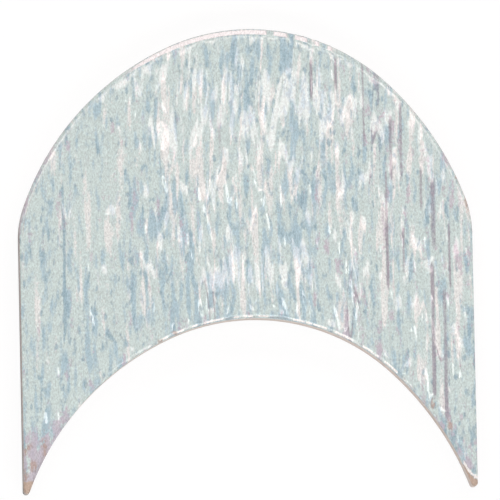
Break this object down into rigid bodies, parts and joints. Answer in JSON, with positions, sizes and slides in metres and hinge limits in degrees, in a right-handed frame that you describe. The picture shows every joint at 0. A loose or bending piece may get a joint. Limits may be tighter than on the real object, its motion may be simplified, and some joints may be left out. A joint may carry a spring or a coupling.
{
  "type": "crescent porcelain wall tile",
  "caption": "Scallop-shaped glazed porcelain wall tile with a domed top edge, straight sides and a concave lower edge that takes the dome of the next tile.",
  "frame": {"origin": "on the back face, under the middle of the outline's box", "axes": "+Z out of the glazed face, +Y towards the dome, +X to the right seen from the glazed side"},
  "size_m": [0.125, 0.1272, 0.009],
  "materials": {
    "glazed_porcelain": "glossy reactive glaze over combed relief, pale blue-green with brown breaks"
  },
  "bodies": {
    "root": {"tile": "glazed_porcelain"}
  },
  "joints": []
}
